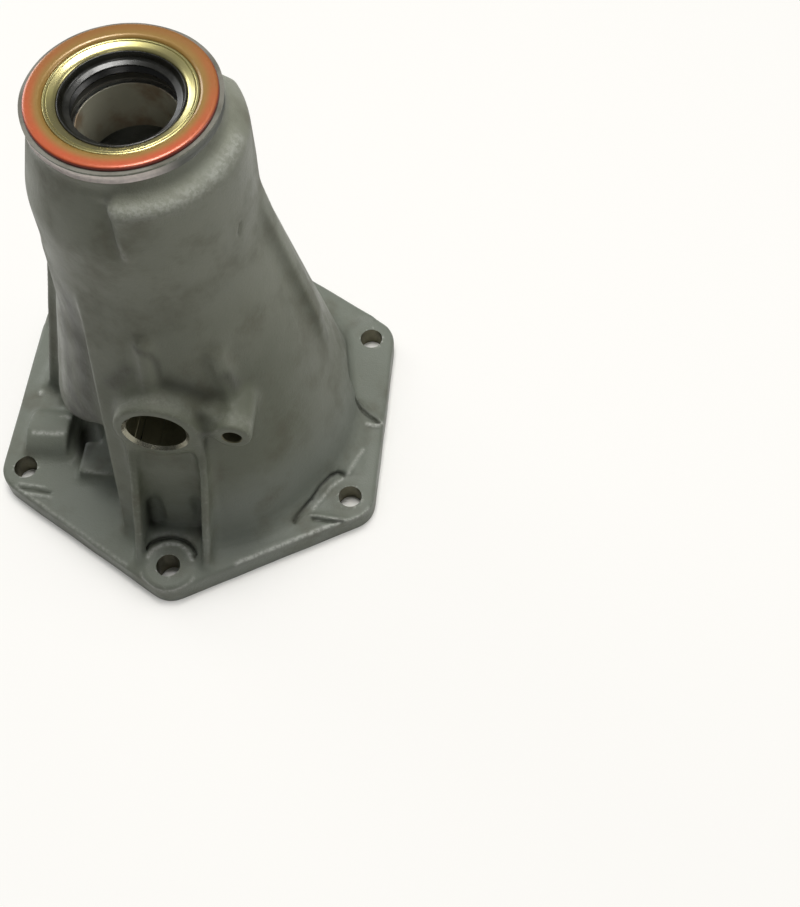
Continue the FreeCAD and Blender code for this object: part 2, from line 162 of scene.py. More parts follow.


# %% [markdown]
# Finishes come next. Two effects are shared by several finishes, so each is a node group:
# one gives the clouds, grain and speckle of a surface, and one finds sharp edges and
# hollows from the curvature of the mesh, which the cast skin uses for a painted highlight and
# painted shade. A group puts out masks and heights only, and each material decides what they
# do to its colour, its roughness and its bump.

# %% Node helpers
def new_group(name, inputs, outputs):
    """Shader group with float inputs {name: default} and named float outputs."""
    group = bpy.data.node_groups.new(name, "ShaderNodeTree")
    for title, value in inputs.items():
        socket = group.interface.new_socket(title, in_out="INPUT", socket_type="NodeSocketFloat")
        socket.default_value = value
    for title in outputs:
        group.interface.new_socket(title, in_out="OUTPUT", socket_type="NodeSocketFloat")
    source = group.nodes.new("NodeGroupInput")
    target = group.nodes.new("NodeGroupOutput")
    return group, source, target


def node(tree, kind, values=None, **settings):
    made = tree.nodes.new(kind)
    for key, value in settings.items():
        setattr(made, key, value)
    for key, value in (values or {}).items():
        made.inputs[key].default_value = value
    return made


def ramp(tree, source, low, high, to_low=0.0, to_high=1.0):
    """Map a value from one range to another with soft ends."""
    mapped = node(tree, "ShaderNodeMapRange", interpolation_type="SMOOTHSTEP")
    ends = {"From Min": low, "From Max": high, "To Min": to_low, "To Max": to_high}
    for key, value in ends.items():
        mapped.inputs[key].default_value = value
    tree.links.new(source, mapped.inputs["Value"])
    return mapped.outputs["Result"]


def combine(tree, operation, first, second=0.0):
    """Math node. Each value is a number or an output socket."""
    made = node(tree, "ShaderNodeMath", operation=operation)
    for socket, value in zip(made.inputs, (first, second)):
        if isinstance(value, (int, float)):
            socket.default_value = value
        else:
            tree.links.new(value, socket)
    return made.outputs[0]


def blend_colour(tree, mask, first, second):
    """Mix two colours by a mask. A colour is a triple or an output socket."""
    made = node(tree, "ShaderNodeMix", data_type="RGBA")
    tree.links.new(mask, made.inputs["Factor"])
    for socket, value in ((made.inputs[6], first), (made.inputs[7], second)):
        if isinstance(value, tuple):
            socket.default_value = (*value, 1)
        else:
            tree.links.new(value, socket)
    return made.outputs[2]


def object_place(tree):
    """Place of a point in the object's own axes: the whole vector, and its X, Y and Z."""
    place = node(tree, "ShaderNodeTexCoord").outputs["Object"]
    split = node(tree, "ShaderNodeSeparateXYZ")
    tree.links.new(place, split.inputs[0])
    return place, split.outputs


# %% Shared effect: clouds, grain and speckle
def surface_group():
    inputs = {"Cloud Scale": 22.0, "Grain Scale": 900.0, "Speckle Scale": 260.0, "Seed": 0.0}
    group, source, target = new_group("cloud_grain_speckle", inputs, ("Cloud", "Grain", "Speckle"))
    place = node(group, "ShaderNodeTexCoord")
    shift = node(group, "ShaderNodeVectorMath", operation="ADD")
    group.links.new(place.outputs["Object"], shift.inputs[0])
    group.links.new(source.outputs["Seed"], shift.inputs[1])
    noises = (("Cloud", 4.0, 0.6), ("Grain", 3.0, 0.6), ("Speckle", 2.0, 0.7))
    for title, detail, roughness in noises:
        cloud = node(group, "ShaderNodeTexNoise", {"Detail": detail, "Roughness": roughness})
        group.links.new(shift.outputs[0], cloud.inputs["Vector"])
        group.links.new(source.outputs[title + " Scale"], cloud.inputs["Scale"])
        group.links.new(cloud.outputs["Fac"], target.inputs[title])
    return group


# %% Shared effect: sharp edges and hollows, for painted highlight and shade
def edge_group():
    inputs = {"Edge Start": 0.52, "Edge End": 0.60, "Hollow Start": 0.49, "Hollow End": 0.42}
    group, source, target = new_group("edges_and_hollows", inputs, ("Edge", "Hollow"))
    shape = node(group, "ShaderNodeNewGeometry")
    for title in ("Edge", "Hollow"):
        mapped = node(group, "ShaderNodeMapRange", interpolation_type="SMOOTHSTEP")
        group.links.new(shape.outputs["Pointiness"], mapped.inputs["Value"])
        group.links.new(source.outputs[title + " Start"], mapped.inputs["From Min"])
        group.links.new(source.outputs[title + " End"], mapped.inputs["From Max"])
        group.links.new(mapped.outputs["Result"], target.inputs[title])
    return group


surface_effect = surface_group()
edge_effect = edge_group()
print("groups", surface_effect.name, edge_effect.name)


# %% Material helpers
def new_material(name, **constants):
    """Material with one Principled shader whose plain values are set on its own sockets."""
    material = bpy.data.materials.new(name)
    material.use_nodes = True
    shader = material.node_tree.nodes["Principled BSDF"]
    for key, value in constants.items():
        title = key.replace("_", " ").title().replace("Ior", "IOR")
        shader.inputs[title].default_value = value
    return material, material.node_tree, shader


def use_group(tree, group, **values):
    """Outputs of a shared effect with these values."""
    made = node(tree, "ShaderNodeGroup", node_tree=group)
    for key, value in values.items():
        made.inputs[key.replace("_", " ").title()].default_value = value
    return made.outputs


def dress(tree, shader, colour, gloss):
    """Feed a colour and a roughness to the shader."""
    tree.links.new(colour, shader.inputs["Base Color"])
    tree.links.new(gloss, shader.inputs["Roughness"])


def bump(tree, shader, height, strength, distance):
    made = node(tree, "ShaderNodeBump", {"Strength": strength, "Distance": distance})
    tree.links.new(height, made.inputs["Height"])
    tree.links.new(made.outputs["Normal"], shader.inputs["Normal"])


# %% [markdown]
# The cast skin is aluminium under a thin grey coat. It is olive on the bell, plainer grey on
# the neck and cooler on the flange, with browner clouds where oil has stained it. The neck
# and flange are painted lighter than the bell, partly as painted light. Sharp edges get a
# painted highlight and hollows painted shade. Two brush strokes stored on the mesh further
# down paint more highlights and shade onto it.

# %% Finish: cast skin
# The neck grey and the flange tone are lighter than the bell olive, partly as painted light.
cast_olive = (0.122, 0.131, 0.096)
cast_grey = (0.196, 0.204, 0.160)
cast_cool = (0.160, 0.174, 0.146)
cast_stain = (0.085, 0.076, 0.050)
# The next two colours are a painted highlight and a painted shade.
cast_highlight = (0.480, 0.490, 0.450)
cast_shade = (0.016, 0.016, 0.010)
flange_level = 20 * mm
bell_level = 60 * mm
neck_level = 165 * mm


def painted(tree, name):
    """Value that a brush stroke left on the points of the mesh."""
    return node(tree, "ShaderNodeAttribute", attribute_name=name).outputs["Fac"]


def cast_skin():
    material, tree, shader = new_material("cast_skin", metallic=0.0, specular_ior_level=0.22)
    large = use_group(
        tree, surface_effect, cloud_scale=14.0, grain_scale=1400.0, speckle_scale=520.0)
    small = use_group(tree, surface_effect, cloud_scale=55.0, seed=3.0)
    edges = use_group(tree, edge_effect, edge_start=0.515, edge_end=0.60)
    height = object_place(tree)[1]["Z"]
    drift = ramp(tree, large["Cloud"], 0.3, 0.7, -0.3, 0.3)
    up = combine(tree, "ADD", ramp(tree, height, bell_level, neck_level), drift)
    colour = blend_colour(tree, up, cast_olive, cast_grey)
    low = combine(tree, "ADD", ramp(tree, height, bell_level, flange_level), drift)
    colour = blend_colour(tree, low, colour, cast_cool)
    stain = ramp(tree, small["Cloud"], 0.45, 0.78, 0.0, 0.5)
    colour = blend_colour(tree, stain, colour, cast_stain)
    # Painted highlight: sharp edges, broken by speckle, and the highlight strokes lighten the skin.
    fleck = ramp(tree, large["Speckle"], 0.50, 0.64)
    highlight_mask = combine(tree, "MULTIPLY", edges["Edge"], fleck)
    broken = ramp(tree, large["Speckle"], 0.40, 0.60, 0.45, 1.0)
    stroke = combine(tree, "MULTIPLY", painted(tree, "painted_highlight"), broken)
    highlight_mask = combine(tree, "MAXIMUM", highlight_mask, stroke)
    colour = blend_colour(tree, highlight_mask, colour, cast_highlight)
    # Painted shade: hollows and the shade strokes darken the skin.
    shade_mask = combine(tree, "MULTIPLY", edges["Hollow"], 0.7)
    shade_mask = combine(tree, "MAXIMUM", shade_mask, painted(tree, "painted_shade"))
    colour = blend_colour(tree, shade_mask, colour, cast_shade)
    dress(tree, shader, colour, ramp(tree, small["Cloud"], 0.35, 0.65, 0.36, 0.50))
    grain = combine(tree, "ADD", large["Grain"], large["Speckle"])
    bump(tree, shader, grain, 0.5, 0.3 * mm)
    return material


# %% [markdown]
# Machined faces are bare, brighter metal with fine tool marks. The marks run round the axis of
# the housing, so they come from the distance to that axis, stretched into thin rings. Oil has
# turned them a little olive. Each such metal has a clean colour and a stained one.

# %% Finish: machined metal
tool_marks = 2600.0


def machined_metal(name, colour, stain, roughness=0.32, metallic=0.9):
    material, tree, shader = new_material(name, metallic=metallic)
    place = node(tree, "ShaderNodeTexCoord")
    rings = node(tree, "ShaderNodeTexWave", {"Scale": tool_marks, "Distortion": 1.2, "Detail": 2.0})
    rings.wave_type = "RINGS"
    rings.rings_direction = "Z"
    tree.links.new(place.outputs["Object"], rings.inputs["Vector"])
    effect = use_group(tree, surface_effect, cloud_scale=60.0, speckle_scale=500.0, seed=7.0)
    mask = ramp(tree, effect["Cloud"], 0.4, 0.68)
    gloss = ramp(tree, effect["Speckle"], 0.3, 0.7, roughness - 0.06, roughness + 0.1)
    dress(tree, shader, blend_colour(tree, mask, colour, stain), gloss)
    bump(tree, shader, rings.outputs["Fac"], 0.12, 0.05 * mm)
    return material


def rim_metal():
    """Turned land of the rim: bright where light falls on its front left, dull grey elsewhere."""
    material, tree, shader = new_material("rim_land", metallic=0.2, roughness=0.5)
    axes = object_place(tree)[1]
    across = combine(tree, "ADD", combine(tree, "MULTIPLY", axes["X"], 0.6), axes["Y"])
    bright = ramp(tree, across, -8 * mm, -26 * mm)
    effect = use_group(tree, surface_effect, speckle_scale=420.0)
    fleck = ramp(tree, effect["Speckle"], 0.35, 0.6, 0.86, 1.0)
    bright = combine(tree, "MULTIPLY", bright, fleck)
    colour = blend_colour(tree, bright, (0.16, 0.165, 0.145), (0.84, 0.76, 0.71))
    tree.links.new(colour, shader.inputs["Base Color"])
    return material


skin = cast_skin()
rim_land_metal = rim_metal()
machined = machined_metal(
    "machined_aluminium", (0.50, 0.48, 0.43), (0.34, 0.32, 0.26), roughness=0.42, metallic=0.6)
seat_metal = machined_metal(
    "oiled_seat", (0.17, 0.165, 0.14), (0.10, 0.095, 0.075), roughness=0.5, metallic=0.4)
bevel_metal = machined_metal(
    "oiled_bevel", (0.30, 0.29, 0.22), (0.075, 0.07, 0.045), roughness=0.22, metallic=0.8)
oiled_bore = machined_metal(
    "oiled_bore", (0.150, 0.142, 0.085), (0.07, 0.066, 0.035), roughness=0.38, metallic=0.6)
print("materials", skin.name, machined.name)

# %% [markdown]
# The housing is made as the real one is: cast first, machined second. The CAD solid has sharp
# edges, but metal poured in sand has every edge and corner rounded. Bevelling hundreds of
# crossing edges would fail, so the mesh is turned into a fine skin of small voxels and then
# grown and shrunk again, which fills each inside corner with a fillet. The bores are plugged
# beforehand, and stock is left where a tool will cut, so the machining later is crisp.

# %% Stock and plugs on the CAD shape
voxel = 0.85 * mm
fillet = 2.6 * mm
stock = 2.5 * mm
plug_margin = 0.8 * mm
pad_top = 10.8 * mm
front_pad_top = 14.5 * mm
left_pad_top = 12.0 * mm
counterbore = 29.55 * mm
counterbore_floor = casting_top - 12.0 * mm
rim_radius = 35.4 * mm
rim_land = 4.2 * mm
groove_foot = casting_top - 6.7 * mm
sleeve_wall = 4 * mm
port_plug = 24 * mm
screw_plug = 15 * mm
first_bolt_turn = math.radians(30)
port_face = port_place.y - (mounts["speedometer_port"]["dims"]["length_mm"] / 2 + 1.4) * mm
screw_face = screw_place.y - (mounts["retainer_screw"]["dims"]["length_mm"] / 2 + 0.35) * mm
along_y = Matrix.Rotation(-math.pi / 2, 4, "X")
port_mouth = Matrix.Translation((port_place.x, port_face, port_place.z)) @ along_y
screw_mouth = Matrix.Translation((screw_place.x, screw_face, screw_place.z)) @ along_y


# %% Turned solids
plain_sides = 96
fine_sides = 160
port_sides = 128
hole_sides = 64


def add_turned(shape, outline, place=None, segments=plain_sides):
    """Add a closed solid turned about local Z from a (radius, height) outline."""
    place = place or Matrix.Identity(4)
    turns = [2 * math.pi * i / segments for i in range(segments)]
    rings = []
    for radius, height in outline:
        if radius == 0:
            rings.append([shape.verts.new(place @ Vector((0, 0, height)))])
        else:
            spots = [Vector((radius * math.cos(t), radius * math.sin(t), height)) for t in turns]
            rings.append([shape.verts.new(place @ spot) for spot in spots])
    faces = []
    for first, second in zip(rings, rings[1:] + rings[:1]):
        for i in range(segments):
            j = (i + 1) % segments
            corners = [first[i % len(first)], first[j % len(first)]]
            corners += [second[j % len(second)], second[i % len(second)]]
            distinct = list(dict.fromkeys(corners))
            if len(distinct) > 2:
                faces.append(shape.faces.new(distinct))
    bmesh.ops.recalc_face_normals(shape, faces=faces)


def disc(radius, low, high):
    return [(0, low), (radius, low), (radius, high), (0, high)]


def from_point(radius, height, *corners):
    """Corners of an outline given in millimetres from one point of it, roundings too."""
    return [(radius + x * mm, height + y * mm, *(r * mm for r in more)) for x, y, *more in corners]


# %% Plugged casting
def bolt_places():
    turns = [first_bolt_turn + 2 * math.pi * i / bolt_count for i in range(bolt_count)]
    return [Vector((bolt_circle * math.cos(t), bolt_circle * math.sin(t), 0)) for t in turns]


def pad_height(place):
    """Height of the boss under a bolt head: the front and the left one stand higher."""
    if place.y < -0.9 * bolt_circle:
        return front_pad_top
    if place.x < 0 and place.y < 0:
        return left_pad_top
    return pad_top


def plugged_casting():
    shape = bmesh.new()
    shape.from_mesh(frame["nodes"]["extension_casting"].data)
    bmesh.ops.remove_doubles(shape, verts=shape.verts, dist=0.001 * mm)
    for vertex in shape.verts:
        if vertex.co.z < 0.01 * mm:
            vertex.co.z = -stock
        elif vertex.co.z > casting_top - 0.01 * mm:
            vertex.co.z += stock
    for place in bolt_places():
        plug = disc(bolt_hole + plug_margin, -stock, pad_height(place))
        add_turned(shape, plug, Matrix.Translation(place))
    add_turned(shape, disc(port_bore + 2 * plug_margin, 0, port_plug), port_mouth)
    add_turned(shape, disc(screw_hole + 2 * plug_margin, 0, screw_plug), screw_mouth)
    add_turned(shape, disc(counterbore + plug_margin, bushing_low.z, casting_top + stock))
    sleeve_inside, sleeve_top = rim_radius - sleeve_wall, casting_top + stock
    sleeve = [(sleeve_inside, groove_foot), (rim_radius + plug_margin, groove_foot)]
    sleeve += [(rim_radius + 1.4 * mm, sleeve_top), (sleeve_inside, sleeve_top)]
    add_turned(shape, sleeve)
    inner, outer = ring_high.x - 4.2 * mm, ring_high.x + plug_margin
    top = ring_high.z + plug_margin / 2
    add_turned(shape, [(inner, -stock), (outer, -stock), (outer, top), (inner, top)])
    mesh = bpy.data.meshes.new("housing_casting")
    shape.to_mesh(mesh)
    shape.free()
    return add_object("housing_casting", mesh)


casting = plugged_casting()
print("plugged casting", len(casting.data.polygons), "faces")


# %% Voxel skin with cast fillets
def remesh(piece):
    apply_modifier(piece, "REMESH", mode="VOXEL", voxel_size=voxel, adaptivity=0)


def read_points(mesh, kind="co"):
    values = np.empty(3 * len(mesh.vertices))
    mesh.vertices.foreach_get(kind, values)
    return values.reshape(-1, 3)


def write_points(mesh, points):
    mesh.vertices.foreach_set("co", points.ravel())
    mesh.update()


def grow(piece, distance):
    """Move every point along its normal, then remesh so that the skin stays even."""
    mesh = piece.data
    write_points(mesh, read_points(mesh) + distance * read_points(mesh, "normal"))
    remesh(piece)


remesh(casting)
grow(casting, fillet / 2)
grow(casting, fillet / 2)
apply_modifier(casting, "SMOOTH", factor=0.5, iterations=3)
grow(casting, -fillet / 2)
grow(casting, -fillet / 2)
apply_modifier(casting, "SMOOTH", factor=0.5, iterations=5)
print("cast skin", len(casting.data.polygons), "faces")

# %% [markdown]
# Small cast relief follows: grooves and low lips beside the bolt pads, a pip, a mould seam.
# Each is a path in millimetres, dropped onto the surface. Points near it move along their
# normal, most on the path itself and less further away, like pressing a round tool into clay.
# The letters name the bolt pads: a and b on the right, d on the left.

# %% Relief tools
def distance_to_path(points, path):
    """Distance of many points from a chain of straight runs."""
    nearest = np.full(len(points), np.inf)
    for start, end in zip(path, path[1:]):
        start, run = np.array(start), np.array(end) - np.array(start)
        share = np.clip((points - start) @ run / max(run @ run, 1e-12), 0, 1)
        gap = np.linalg.norm(points - start - share[:, None] * run, axis=1)
        nearest = np.minimum(nearest, gap)
    return nearest


def surface_of(piece):
    return BVHTree.FromObject(piece, bpy.context.evaluated_depsgraph_get())


def on_surface(surface, path, step=2.5):
    """Cut a path in millimetres into short runs and drop each of its points onto the surface."""
    spots = [Vector(path[0])]
    for start, end in zip(path, path[1:]):
        run = Vector(end) - Vector(start)
        count = max(1, math.ceil(run.length / step))
        spots += [Vector(start) + run * (i + 1) / count for i in range(count)]
    return [np.array(surface.find_nearest(spot * mm)[0]) for spot in spots]


def press(piece, surface, path, width, height):
    """Raise a lip (height above 0) or sink a groove (below 0) along a path in millimetres."""
    points = read_points(piece.data)
    gap = distance_to_path(points, on_surface(surface, path)) / (width * mm)
    move = height * mm * np.exp(-gap * gap)
    write_points(piece.data, points + move[:, None] * read_points(piece.data, "normal"))


def arc(radius, middle, turns, upright=False):
    """Points on a circle in millimetres, level or upright along X, at turns in degrees."""
    x, y, z = middle
    angles = [math.radians(turn) for turn in turns]
    if upright:
        return [(x + radius * math.cos(a), y, z + radius * math.sin(a)) for a in angles]
    return [(x + radius * math.cos(a), y + radius * math.sin(a), z) for a in angles]


# %% Paths of the relief
front_bolt = (0, -90.5)
a_groove = [(75.0, 3.5, 20), (78.9, 0.8, 14.5), (83, -1.4, 12), (87.2, -4.0, 12)]
a_lip = [(82.4, -5.8, 12), (86.5, -6.2, 12), (89.2, -4.6, 12)]
b_valley = [
    (54.1, -61.5, 12.6), (57.3, -54.7, 12), (61, -49.4, 13), (64.7, -43.7, 15),
    (68.1, -37.3, 14), (71.1, -34.2, 12.3), (74.1, -34.4, 11)]
b_valley_lip = [
    (61.8, -54.2, 10.8), (65.6, -47.4, 10.8), (69, -41.2, 10.8), (73.1, -37.1, 10.8),
    (76.2, -33, 11), (79.2, -26.6, 12), (81.6, -20, 11)]
b_trench = [(62.2, -59.4, 12), (69.1, -59.9, 12), (75.9, -60.0, 12)]
b_trench_lip = [
    (61.5, -57.6, 12), (68.5, -57.8, 12), (74.5, -58.2, 12), (79.5, -58.0, 11),
    (83.4, -56.6, 11), (86.2, -53.6, 11), (87.9, -50.6, 11)]
d_trench = [(-78.2, -56.6, 12), (-71, -57.0, 12), (-63.6, -57.6, 12)]
d_lip = [(-79.1, -54.2, 12), (-73, -54.6, 12), (-66.7, -55.2, 12)]
d_front_lip = [(-75.3, -59.2, 12), (-69, -59.5, 12), (-63.1, -60, 12)]
seat_gap = arc(12.7, (*front_bolt, 16), range(28, 153, 8))
boss_edge = arc(11.0, (*front_bolt, 14.5), range(20, 165, 8))
boss_front = arc(12.4, (*front_bolt, 12), range(200, 341, 10))
seat_crease = [(-11.5, -70, 17), (0, -70.5, 17), (14, -69.6, 17)]
neck_ridge = [
    (2.5, -40.5, 204.5), (4.8, -41.5, 204.2), (12.3, -39.9, 204.2), (20.5, -36.5, 204.2),
    (28.3, -30.5, 204.4), (34.5, -22.6, 204.8), (38.8, -12.5, 205.0), (40.5, -5, 205)]
neck_edge = [(1.8, -39.6, 203.5), (2.4, -40.6, 198), (2.8, -42.2, 190), (3.4, -44.1, 182.5)]
neck_edge_shade = [
    (-2.0, -39.6, 203.5), (-1.4, -40.6, 198), (-0.9, -42.2, 190), (-0.3, -44.1, 182.5)]
neck_nick = [(40.6, -17.4, 173.5), (39.9, -18.9, 169.5)]
pip = [(-80.9, -3.9, 12), (-80.9, -3.2, 12)]

# %% Press the relief: each path has a width and a height in millimetres
reliefs = [
    (seat_gap, 0.9, -2.4),
    (seat_crease, 1.5, -0.9),
    (neck_ridge, 3.6, 1.3),
    (neck_edge, 2.2, 0.8),
    (neck_edge_shade, 2.4, -0.8),
    (neck_nick, 1.1, -0.8),
    (a_groove, 1.1, -1.8),
    (a_lip, 1.0, 0.8),
    (b_valley, 1.2, -1.6),
    (b_valley_lip, 1.0, 0.5),
    (b_trench, 0.9, -1.2),
    (b_trench_lip, 0.9, 0.6),
    (d_trench, 0.9, -0.8),
    (d_lip, 0.9, 0.5),
    (d_front_lip, 0.9, 0.5),
    (pip, 1.3, 0.9),
]
cast_surface = surface_of(casting)
for path, width, height in reliefs:
    press(casting, cast_surface, path, width, height)
print("relief pressed along", len(reliefs), "paths")

# %% [markdown]
# Walls poured in sand are never quite flat, so noise with a fixed form moves them a little. The
# skin is then thinned. Even voxels give flat places far more faces than they need, and a lighter
# mesh also cuts faster.

# %% Waviness of the cast walls
def waviness(piece, size=16.0, depth=0.22):
    """Waves of this size and depth in millimetres."""
    mesh = piece.data
    points = read_points(mesh)
    scale = 1 / (size * mm)
    lift = np.array([noise.noise(Vector(spot) * scale) for spot in points])
    write_points(mesh, points + (depth * mm * lift)[:, None] * read_points(mesh, "normal"))


waviness(casting)

# %% Thin the skin before machining
skin_faces = 172000
thinning = skin_faces / (2 * len(casting.data.polygons))
apply_modifier(casting, "DECIMATE", ratio=thinning)
print("thinned casting", len(casting.data.polygons), "faces")

# %% [markdown]
# What repeats or follows a path is made by Geometry Nodes. Every such tree takes numbers and a
# material by name, realizes its instances and sets the material, so these steps are shared. Its
# inputs are set before it first runs, and the result is kept as a plain mesh.

# %% Geometry Nodes helpers
def new_tree(name, inputs):
    """Tree with named inputs {title: kind}. Its sockets dictionary gives their identifiers."""
    tree = bpy.data.node_groups.new(name, "GeometryNodeTree")
    tree.interface.new_socket("Geometry", in_out="INPUT", socket_type="NodeSocketGeometry")
    sockets = {}
    for title, kind in {**inputs, "Material": "Material"}.items():
        socket = tree.interface.new_socket(title, in_out="INPUT", socket_type="NodeSocket" + kind)
        sockets[title] = socket.identifier
    tree.interface.new_socket("Geometry", in_out="OUTPUT", socket_type="NodeSocketGeometry")
    return tree, sockets, node(tree, "NodeGroupInput").outputs


def end_tree(tree, geometry, material):
    """Realize the instances, set the material and pass the result out."""
    plain = node(tree, "GeometryNodeRealizeInstances")
    coat = node(tree, "GeometryNodeSetMaterial")
    target = node(tree, "NodeGroupOutput")
    tree.links.new(geometry, plain.inputs["Geometry"])
    tree.links.new(plain.outputs["Geometry"], coat.inputs["Geometry"])
    tree.links.new(material, coat.inputs["Material"])
    tree.links.new(coat.outputs["Geometry"], target.inputs["Geometry"])


def run_tree(piece, tree, sockets, **values):
    """Give the tree its inputs by their identifiers and keep the result as a plain mesh."""
    modifier = piece.modifiers.new("shape", "NODES")
    modifier.node_group = tree
    for key, value in values.items():
        modifier[sockets[key.replace("_", " ").title()]] = value
    bake_modifiers(piece)


# %% [markdown]
# Machining is a Boolean cut with clean round cutters. The six bolt drills are instances of one
# drill, placed on the points of a circle, so the count and the circle can change. The other
# cutters are turned outlines. Each carries its own metal, and the cut faces take it over.

# %% Bolt drills on their circle
drill_length = 60 * mm


def bolt_drill_tree():
    inputs = {"Circle Radius": "Float", "Drill Radius": "Float", "Length": "Float", "Count": "Int"}
    tree, sockets, source = new_tree("bolt_drills", inputs)
    circle = node(tree, "GeometryNodeMeshCircle")
    turn = node(tree, "GeometryNodeTransform", {"Rotation": (0, 0, first_bolt_turn)})
    drill = node(tree, "GeometryNodeMeshCylinder", {"Vertices": hole_sides})
    spread = node(tree, "GeometryNodeInstanceOnPoints")
    link = tree.links.new
    link(source["Count"], circle.inputs["Vertices"])
    link(source["Circle Radius"], circle.inputs["Radius"])
    link(source["Drill Radius"], drill.inputs["Radius"])
    link(source["Length"], drill.inputs["Depth"])
    link(circle.outputs["Mesh"], turn.inputs["Geometry"])
    link(turn.outputs["Geometry"], spread.inputs["Points"])
    link(drill.outputs["Mesh"], spread.inputs["Instance"])
    end_tree(tree, spread.outputs["Instances"], source["Material"])
    return tree, sockets


def bolt_drills():
    drills = add_object("bolt_drills", bpy.data.meshes.new("bolt_drills"))
    run_tree(
        drills, *bolt_drill_tree(), circle_radius=bolt_circle, drill_radius=bolt_hole,
        length=drill_length, count=bolt_count, material=oiled_bore)
    return drills


# %% Turned cutters
def turned_cutter(name, material, *solids):
    """One mesh of turned solids, each an outline, its place (None: on the axis) and its sides."""
    shape = bmesh.new()
    for outline, place, segments in solids:
        add_turned(shape, outline, place, segments)
    mesh = bpy.data.meshes.new(name)
    shape.to_mesh(mesh)
    shape.free()
    mesh.materials.append(material)
    return add_object(name, mesh)


def neck_cutter():
    """Seal pocket, bushing bore and the top face of the rim."""
    wide, past = 70 * mm, casting_top + 2 * stock
    bushing_bore = bushing_high.x + 0.05 * mm
    bore_foot = bushing_low.z - 2 * mm
    neck = [(0, bore_foot), (bushing_bore, bore_foot), (bushing_bore, counterbore_floor)]
    neck += [(counterbore, counterbore_floor), (counterbore, casting_top - 0.5 * mm)]
    neck += [(counterbore + 0.5 * mm, casting_top), (wide, casting_top), (wide, past), (0, past)]
    return turned_cutter("neck_cutter", seat_metal, (neck, None, fine_sides))


def mating_plane():
    """Face mill that takes the stock off the mating face."""
    slab = disc(150 * mm, -6 * mm, 0)
    return turned_cutter("mating_plane", machined, (slab, None, plain_sides))


def rim_cutter():
    """The lathe tool that turns the bright land of the rim and rounds off below it."""
    wide, land_foot, land_head = 55 * mm, casting_top - rim_land, casting_top - 0.9 * mm
    lathe = from_point(rim_radius, land_foot, (0, 0.8), (0.3, 0), (1.2, -0.6))
    lathe += [(wide, land_foot - 0.6 * mm), (wide, land_head), (rim_radius, land_head)]
    return turned_cutter("rim_cutter", rim_land_metal, (lathe, None, fine_sides))


def port_cutters():
    """Port bore and screw hole, each with a bevelled mouth."""
    bore = from_point(port_bore, 0, (4.4, -3), (0, 1.4), (0, 27))
    bore = [(0, -3 * mm), *bore, (0, 27 * mm)]
    thread_root = screw_hole + 0.7 * mm
    hole = from_point(thread_root, 0, (2.4, -2), (0, 0.4), (0, 12.8))
    hole = [(0, -2 * mm), *hole, (0, 14.8 * mm)]
    solids = (bore, port_mouth, port_sides), (hole, screw_mouth, hole_sides)
    return turned_cutter("port_cutters", oiled_bore, *solids)


def bevel_cutter():
    """Bright bevel at the mouth of the port, cut a hair deeper than the bore's own."""
    bevel = from_point(port_bore, 0, (4.35, -2.9), (0.05, 1.4))
    bevel = [(0, -2.9 * mm), *bevel, (0, 1.4 * mm)]
    return turned_cutter("bevel_cutter", bevel_metal, (bevel, port_mouth, port_sides))


def mating_cutters():
    """Groove of the case seal ring and the bored step inside the mating face."""
    foot, inner, outer = -2 * mm, ring_high.x - 3.35 * mm, ring_high.x + 0.15 * mm
    groove = [(inner, foot), (outer, foot), (outer, ring_high.z), (inner, ring_high.z)]
    bored = from_point(ring_high.x - 5.7 * mm, 0, (0.6, -2), (0, 0.6), (0, 4))
    bored = [(0, foot), *bored, (0, 4 * mm)]
    solids = (groove, None, fine_sides), (bored, None, plain_sides)
    return turned_cutter("mating_cutters", machined, *solids)


# %% Cut the casting
def cut(piece, cutter):
    apply_modifier(
        piece, "BOOLEAN", operation="DIFFERENCE", solver="EXACT", material_mode="TRANSFER",
        object=cutter)
    bpy.data.objects.remove(cutter)
    print("after cut", len(piece.data.polygons), "faces", len(piece.data.materials), "materials")


casting.data.materials.append(skin)
for cutter_maker in (
        neck_cutter, mating_plane, rim_cutter, port_cutters, bevel_cutter, mating_cutters,
        bolt_drills):
    cut(casting, cutter_maker())
smooth_but_edges(casting.data, degrees=38)
finish_piece(casting, "cast_aluminium", "extension_casting")

# %% [markdown]
# Highlights and shade are painted as soft strokes on the points of the mesh: a painted
# highlight along edges and tops that catch the light, and painted shade in grooves, hollows
# and beside bosses and ribs. One number is kept for each, and the skin material reads them.
# Long wide strokes are the painted shade of the deep hollows. Each stroke is a path and a
# width, both in millimetres, and a strength.

# %% Painted highlight and shade strokes
rim_front_left = [(-80.5, -55.5, 12), (-60, -68.2, 12), (-40, -79.8, 12), (-20, -91.2, 12)]
rim_of_flange = [
    (30.5, -85.5, 12), (36, -82.4, 12), (49.4, -74.6, 12), (63.3, -66.5, 12), (76, -59.2, 12)]
limb = [
    (-37.5, -26.8, 128), (-41, -26.5, 112), (-44.6, -26.1, 97), (-48, -28, 80),
    (-50.5, -29.5, 65)]
port_top = arc(18.0, (2.7, -60, 91.5), range(35, 146, 10), upright=True)
screw_top = arc(8.2, (34.7, -59, 91.5), range(20, 161, 20), upright=True)
left_edge_line = [
    (-24, -37.5, 148), (-24.3, -40.5, 130), (-24.6, -45.8, 100), (-24.8, -50.5, 72),
    (-25, -55, 45)]
